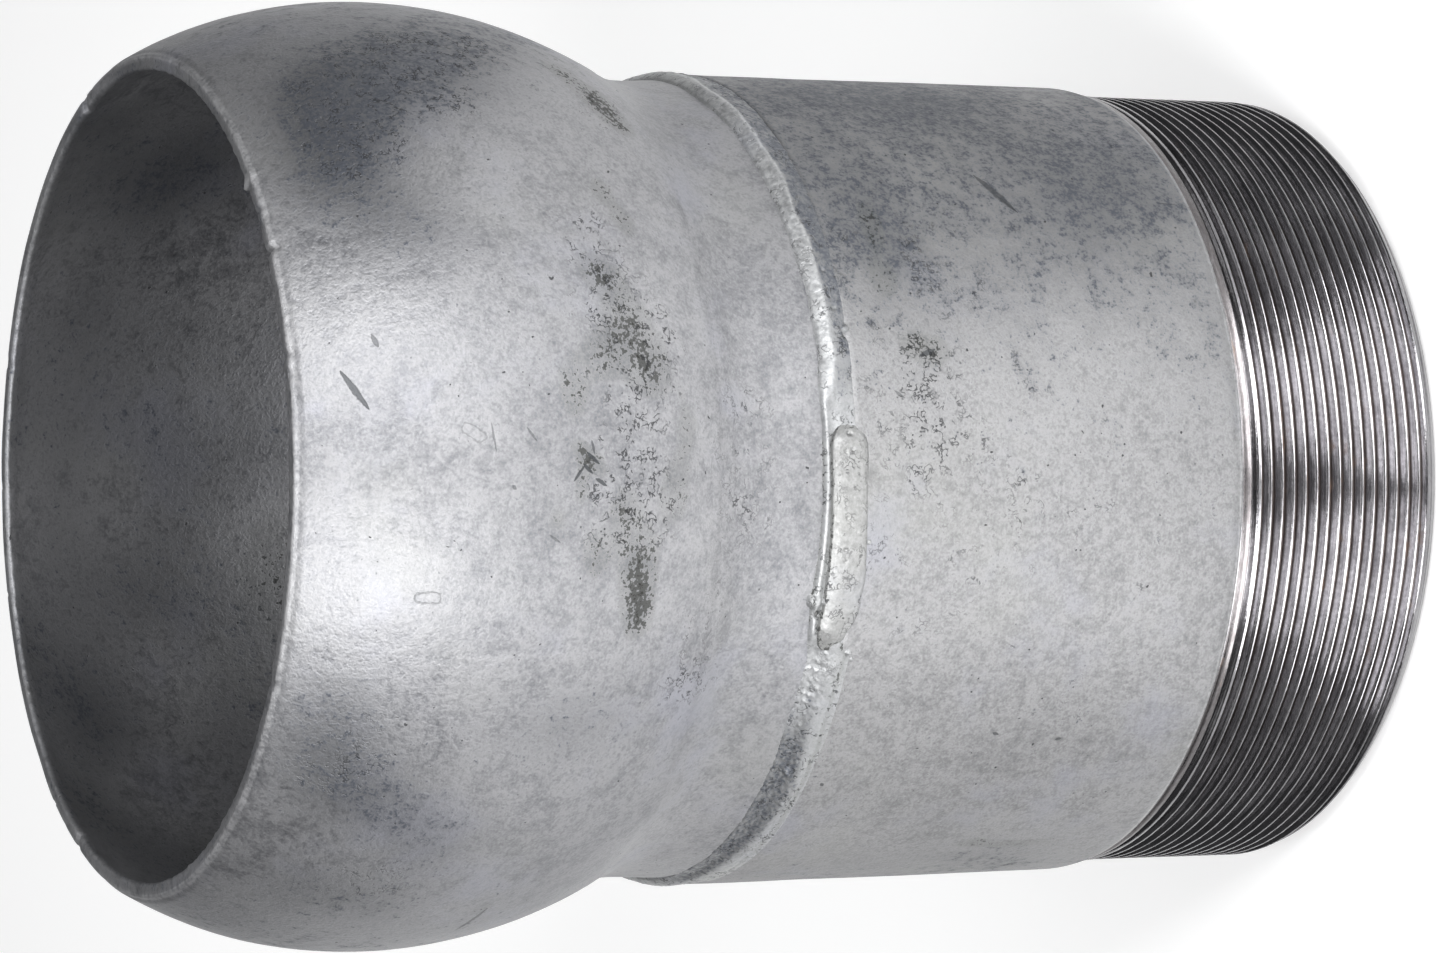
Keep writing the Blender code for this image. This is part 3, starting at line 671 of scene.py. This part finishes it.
def make_bead():
    n = 1380
    phi = np.arange(n) * 360.0 / n
    xs = np.concatenate([np.arange(91.3, 92.4, 0.3), np.arange(92.4, 102.6, 0.19), np.arange(102.7, 103.6, 0.35)])
    P, X = np.meshgrid(phi, xs)
    wob = waves(41, 30, 4, 14)(P, 0 * X)
    tl = toe_left(P) + 0.14 * wob + 0.06 * waves(42, 40, 0.9, 2.5)(P, 0 * X)
    tr = toe_right(P) + 0.22 * waves(43, 30, 3, 12)(P, 0 * X) + 0.12 * waves(44, 40, 0.9, 2.5)(P, 0 * X)
    nk = neck(np.minimum(X, 95.0))
    pp = pipe(np.maximum(X, 96.0))
    crest_x = tl + 2.3 + 0.30 * waves(45, 20, 8, 25)(P, 0 * X)
    # plain run: steep toe on the shell's side, long fall to the pipe
    up = np.clip((X - tl) / (crest_x - tl), 0, 1)
    fall = np.clip((X - crest_x) / (tr - crest_x), 0, 1)
    top = 71.22
    foot = 69.72
    rise = foot + (top - foot) * (1 - (1 - up)**1.45)
    plain = np.where(X < crest_x, rise, top - 0.52 * fall**1.3)
    # ripples lie as shallow crescents across the bead
    lag = 1.1 * ((X - crest_x) / 3.0)**2
    ripple = np.sin(2 * pi * (arc(P, 0.0) - lag) / 1.55 + 1.5 * waves(46, 16, 5, 20)(P, X))
    plain += 0.012 * ripple * step(0, 0.25, up) * step(1.0, 0.85, fall)
    # the run below the closing run: a sunken crumbly band
    crumb = waves(47, 80, 0.7, 1.7)(P, X)
    grit = waves(48, 70, 0.55, 1.1)(P, X)
    sunk_l, sunk_r = toe_left(P), np.interp(P, [112, 117, 126, 139, 158, 180], [97.6, 97.2, 96.9, 98.6, 96.8, 96.5])
    mid = (sunk_l + sunk_r) / 2
    even = nk + (pp - nk) * step(tl - 1.0, 99.4, X)
    band = even + 0.12 * step(93.0, 94.2, X) * step(100, 97.5, X) \
        - 0.30 * np.exp(-((X - mid) / (0.42 * (sunk_r - sunk_l)))**2)
    band += 0.075 * np.clip(crumb, -0.4, 1.2) * np.exp(-((X - mid) / (0.55 * (sunk_r - sunk_l)))**4)
    feather = step(100.9, 99.8, X)
    band = np.where(X > 99.2, pp + 0.02 * feather - 0.25 * step(100.9, 101.8, X), band)
    low_part = step(110, 114, P) * step(176, 168, P)
    # beside the closing run: a narrow ridge, then a groove that the closing run lies in
    ridge_x = np.interp(P, [74, 80, 90, 98, 104, 110], [94.4, 94.0, 94.15, 93.9, 93.6, 93.6])
    slim = nk - 0.10 + 0.62 * step(tl - 0.1, ridge_x, X) + 0.30 * np.exp(-((X - ridge_x) / 0.5)**2) + 0.5 * step(95.2, 97.0, X)
    slim = np.where(X > 97.0, 70.72 - 0.0 * X, slim)
    near = step(76, 82, P) * step(114, 110, P)
    r = plain * (1 - low_part) + band * low_part
    r = r * (1 - near) + slim * near
    # surface
    r += 0.016 * crumb * step(tl, tl + 0.6, X) * step(tr + 0.3, tr - 0.6, X) * (1 - 0.4 * near)
    r += 0.009 * grit * step(tl, tl + 0.4, X) * step(tr + 0.3, tr - 0.4, X)
    r += 0.12 * np.clip(waves(49, 40, 1.5, 4)(P, X) - 0.8, 0, 1) * step(tl, tl + 0.8, X) * step(tr, tr - 1, X) * (1 - near)
    # toes: a thin undercut at each side, then the bead dives under its neighbours
    r -= 0.20 * np.exp(-((X - tl - 0.1) / 0.22)**2) * (1 - 0.6 * low_part)
    r = np.where(X < tl, np.minimum(r, nk - 0.10 - 0.5 * (tl - X)), r)
    dive = np.where(low_part > 0.5, 101.0, tr)
    r = np.where(X > dive, np.minimum(r, pp - 0.05 - 0.45 * (X - dive)), r)
    r -= (1 - low_part) * 0.10 * np.exp(-((X - tr) / 0.25)**2)
    # lumps
    def lump(at, radius, sink=0.0):
        ground = np.where(X < 94.5, nk, np.minimum(pp, 70.9))
        bump = ball_bump(P, X, at, radius)
        return np.where(bump > 0, ground - sink + bump, -1)
    for at, radius, sink in (((93.35, 106.7), 1.45, 0.25), ((101.7, 98.3), 0.55, 0.12), ((100.7, 113.8), 0.6, 0.1),
                             ((101.5, 114.8), 0.4, 0.1), ((99.3, 69.4), 0.8, 0.35), ((93.1, 34.5), 0.45, 0.1),
                             ((93.9, 49.6), 0.5, 0.1), ((101.9, 100.2), 0.3, 0.05), ((98.4, 140.5), 0.55, 0.15),
                             ((96.5, 134.0), 0.6, 0.2), ((92.9, 245.0), 0.7, 0.2), ((101.0, 300.0), 0.6, 0.1)):
        r = np.maximum(r, lump(at, radius, sink))
    for at, radius, deep in (((93.9, 108.5), 0.55, 0.9), ((93.6, 106.2), 0.3, 0.35), ((97.6, 66.5), 0.5, 0.4),
                             ((97.2, 60.8), 0.4, 0.4), ((96.1, 116.0), 0.6, 0.35), ((98.9, 70.3), 0.5, 0.4)):
        r -= deep * blot(P, X, at, radius, radius)
    bottom = [(70.2, 103.7), (69.0, 102.4), (67.6, 99.5), (66.95, 97.3), (66.85, 95.8), (66.9, 94.4),
              (67.2, 93.0), (68.0, 91.6), (68.6, 91.2)]
    rows_r = np.concatenate([r, np.array([[b[0]] for b in bottom]) + np.zeros((1, n))])
    root_wave = waves(50, 30, 3, 9)(phi, 0.0)
    rows_r[len(xs) + 3:len(xs) + 6] += 0.12 * root_wave
    rows_x = np.concatenate([X, np.array([[b[1]] for b in bottom]) + np.zeros((1, n))])
    # painted shade: the bead's fall towards the pipe is darkened, more on the side round phi 0; on the low band the
    # darkening is bloom
    side = (P + 180) % 360 - 180
    blue = 0 * P + 0.25 * fall * step(84, 70, side) * step(-70, -30, side) + 0.74 * low_part * np.exp(-((X - mid) / (0.62 * (sunk_r - sunk_l)))**4) * step(115, 132, P)
    blue += (0.46 + 0.40 * step(76, 52, side) * step(-70, -30, side)) * (1 - near) * step(crest_x - 0.5, crest_x + 0.9, X) * step(tr + 0.3, tr - 0.3, X) * (1 - low_part)
    # painted shade: a dark line along the right toe, dark lines in the creases either side of the ridge, and dark blots
    # in the pores and beside the lumps; the grit on the low band is stain
    stain = 0.35 * np.exp(-((X - tr) / 0.5)**2) * (1 - near) + 0.2 * low_part * np.clip(grit, 0, 1)
    stain = stain + (1.1 * blot(P, X, (94.1, 108.5), 0.6, 0.55) + 1.0 * blot(P, X, (101.9, 108.3), 0.45, 0.9)
                     + 0.9 * blot(P, X, (99.3, 113.1), 0.5, 0.6) + 0.7 * blot(P, X, (98.9, 70.3), 0.5, 0.9)
                     + 0.7 * blot(P, X, (97.6, 66.5), 0.6, 0.5) + 0.25 * near * np.exp(-((X - ridge_x - 0.75) / 0.2)**2)
                     + 0.6 * near * np.exp(-((X - ridge_x + 0.75) / 0.25)**2))
    pits = 0.45 + 0 * P
    # painted highlight on the bead's rise from the shell and on the ridge; on the low band the crumbs are set bright
    rub = 0.8 * low_part * np.clip(crumb - 0.25, 0, 1.2) * np.exp(-((X - mid) / 1.6)**2) * (0.45 + 0.55 * step(132, 114, P)) + 0.42 * (1 - low_part) * (1 - near) * step(0.03, 0.2, up) * step(0.20, 0.0, fall) + 0.5 * near * np.exp(-((X - ridge_x) / 0.5)**2)
    z0 = np.zeros((len(bottom), n))
    obj = turned("weld_bead_skin", rows_r, phi, rows_x, [weld_mat],
                 {"blue": np.concatenate([blue, z0 + 0.4]), "stain": np.concatenate([stain, z0]),
                  "pits": np.concatenate([pits, z0]), "rub": np.concatenate([rub, z0])})
    return outward(obj)


def make_run():
    """The closing run: two overlapping lengths that end in a rounded crater."""
    phi = np.linspace(81.2, 114.2, 300)
    xs = np.linspace(93.9, 102.7, 74)
    P, X = np.meshgrid(phi, xs)
    s = arc(P, 90.0)

    def length(start, end, x_mid, half, height, square=2.4, nose=3.4, tail=3.4):
        c = x_mid
        a = arc(np.array(start), 90.0)
        b = arc(np.array(end), 90.0)
        close = np.minimum((s - a) / nose, (b - s) / tail)
        width = half * np.sqrt(np.clip(1 - np.clip(1 - close, 0, 1)**2, 0, 1))
        t = np.abs(X - c) / np.maximum(width, 1e-3)
        return height * np.clip(1 - t**square, 0, None)**0.62 * step(0, 0.9, close)

    mid = np.interp(P, [81, 92, 103, 108, 114.2], [98.2, 98.02, 98.32, 98.0, 96.5])
    half = np.interp(P, [81, 86, 96, 104, 109, 114], [3.0, 3.4, 3.35, 3.6, 3.3, 2.6])
    a = length(82.2, 94.2, mid - 0.1, half * 1.02, 1.06, nose=4.2, tail=7.0)
    b = length(87.0, 114.0, mid, half, 0.84, nose=5.5, tail=5.5)
    low = 70.62
    r = low + np.maximum(a, b)
    on = step(0.05, 0.35, np.maximum(a, b))
    lag = 1.3 * ((X - mid) / 3.0)**2
    r += on * 0.012 * np.sin(2 * pi * (s + lag) / 1.7 + 1.4 * waves(61, 16, 5, 20)(P, X))
    r += on * (0.028 * waves(62, 60, 2.4, 6.0)(P, X) + 0.007 * waves(63, 60, 0.8, 1.8)(P, X))
    for at, radius, deep in (((97.7, 83.9), 0.42, 0.55), ((98.1, 86.1), 0.30, 0.35), ((96.9, 86.5), 0.28, 0.3),
                             ((98.6, 91.2), 0.25, 0.3), ((97.4, 95.2), 0.3, 0.25), ((97.3, 99.4), 0.32, 0.4),
                             ((97.5, 101.0), 0.22, 0.25), ((99.2, 97.0), 0.25, 0.2), ((98.2, 92.6), 0.5, 0.14),
                             ((99.0, 110.2), 1.6, 0.16)):
        r -= deep * blot(P, X, at, radius, radius)
    r = np.where(np.maximum(a, b) < 0.02, 69.65, r)
    rows, cols = P.shape
    topv = place(r, P, X).reshape(-1, 3)
    botv = place(np.full_like(r, 69.4), P, X).reshape(-1, 3)
    idx = np.arange(rows * cols).reshape(rows, cols)
    off = rows * cols
    quads = [np.stack([idx[:-1, :-1], idx[:-1, 1:], idx[1:, 1:], idx[1:, :-1]], -1).reshape(-1, 4)]
    quads.append(quads[0][:, ::-1] + off)
    ring = np.concatenate([idx[0, :], idx[1:, -1], idx[-1, -2::-1], idx[-2:0:-1, 0]])
    nxt = np.roll(ring, -1)
    quads.append(np.stack([nxt, ring, ring + off, nxt + off], -1))
    verts = np.concatenate([topv, botv])
    h = np.concatenate([np.maximum(a, b).reshape(-1)] * 2)
    zeros = np.zeros(len(verts))
    # painted shade: the low ground round the run and along its toes is darkened; its top above 0.5 mm is set lighter
    obj = make("weld_closing_run_skin", verts, np.concatenate(quads), [run_mat],
               attributes={"blue": zeros + 0.05, "stain": zeros + 0.50 * (h < 0.30), "pits": zeros + 0.4,
                           "rub": zeros + 0.35 * (h > 0.5)})
    return outward(obj)


shell = make_shell()
pipe_skin = make_pipe()
thread_skin = make_thread()
bead = make_bead()
run = make_run()
for piece, node, slot in ((shell, "ball_shell", "galvanised_plate"), (pipe_skin, "threaded_nipple", "galvanised_pipe"),
                          (thread_skin, "threaded_nipple", "bare_steel"), (bead, "weld_bead", "galvanised_weld"),
                          (run, "weld_closing_run", "galvanised_weld_end")):
    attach(piece, "root")
    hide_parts(node)


# ------------------------------------------------------------------ studio
def floor():
    mesh = bpy.data.meshes.new("studio_floor")
    s = 6.0
    mesh.from_pydata([(-s, -s, 0), (s, -s, 0), (s, s, 0), (-s, s, 0)], [], [(0, 1, 2, 3)])
    obj = bpy.data.objects.new("studio_floor", mesh)
    bpy.context.scene.collection.objects.link(obj)
    n = Nodes("pale_floor")
    tone = n.ramp(n.noise(400, 2.0), -0.3, 0.3)
    mesh.materials.append(n.finish(n.mix(tone, (0.80, 0.80, 0.80), (0.83, 0.83, 0.83)), 0.85, metallic=0.0))
    n.bsdf.inputs["Emission Color"].default_value = (1, 1, 1, 1)
    n.bsdf.inputs["Emission Strength"].default_value = 0.30
    obj.location.z = -0.0004


def softbox(name, azimuth, elevation, distance, width, height, power, spread=180.0, aim=(0, 0, 0.107)):
    """An area light that faces the object. Azimuth 0 is the camera's side (-Y), positive to +X."""
    data = bpy.data.lights.new(name, "AREA")
    data.shape = "RECTANGLE"
    data.size, data.size_y = width, height
    data.energy = power
    data.spread = radians(spread)
    obj = bpy.data.objects.new(name, data)
    bpy.context.scene.collection.objects.link(obj)
    a, e = radians(azimuth), radians(elevation)
    target = Vector(aim)
    where = target + distance * Vector((sin(a) * cos(e), -cos(a) * cos(e), sin(e)))
    obj.location = where
    obj.rotation_euler = (target - where).to_track_quat("-Z", "Y").to_euler()
    obj.visible_camera = False
    return obj


floor()
softbox("strip_left", -26, 22, 1.45, 0.50, 1.30, 22)
softbox("strip_right", 26, 22, 1.45, 0.50, 1.30, 19.5)
softbox("side_left", -82, 44, 2.4, 1.0, 1.0, 1.8)
softbox("side_right", 82, 44, 2.4, 1.0, 1.0, 3.2)
# low cards in front of the object, which the bright metal mirrors as two long bands
bright = bpy.data.collections.new("mirrors_the_cards")
bright.objects.link(thread_skin)
for name, azimuth, near in (("card_left", -24, -22), ("card_right", 24, 18.5)):
    card = softbox(name, azimuth, 0, 0.34, 0.13, 0.46, 0.14, aim=(0, 0, 0.003))
    card.rotation_euler = (pi, 0, radians(azimuth))
    card = softbox(name + "_thread", near, 0, 0.136, 0.052, 0.13, 0.185, aim=(0, 0, 0.003))
    card.rotation_euler = (pi, 0, radians(near))
    card.light_linking.receiver_collection = bright
softbox("overhead", 0, 90, 2.2, 2.2, 2.2, 26)

world = bpy.data.worlds.new("studio")
bpy.context.scene.world = world
world.use_nodes = True
world.node_tree.nodes["Background"].inputs["Color"].default_value = (0.92, 0.93, 0.95, 1)
world.node_tree.nodes["Background"].inputs["Strength"].default_value = 0.11

scene = bpy.context.scene
scene.view_settings.view_transform = "Standard"
scene.view_settings.look = "None"
scene.view_settings.exposure = 0.0
scene.view_settings.gamma = 1.0

# ------------------------------------------------------------------ camera
data = bpy.data.cameras.new("camera")
data.lens = 140.72645
data.sensor_width = 36.0
data.sensor_fit = "HORIZONTAL"
data.clip_start, data.clip_end = 0.05, 50.0
camera = bpy.data.objects.new("camera", data)
scene.collection.objects.link(camera)
right = Vector((0.00153344, -0.4399004, -0.89804526))
up = Vector((0.99999854, 0.0, 0.00170752))
ahead = Vector((0.00075114, 0.89804657, -0.43989976))
camera.matrix_world = Matrix((
    (right.x, up.x, -ahead.x, -0.000575501),
    (right.y, up.y, -ahead.y, -0.890879758),
    (right.z, up.z, -ahead.z, 0.542512317),
    (0, 0, 0, 1)))
scene.camera = camera
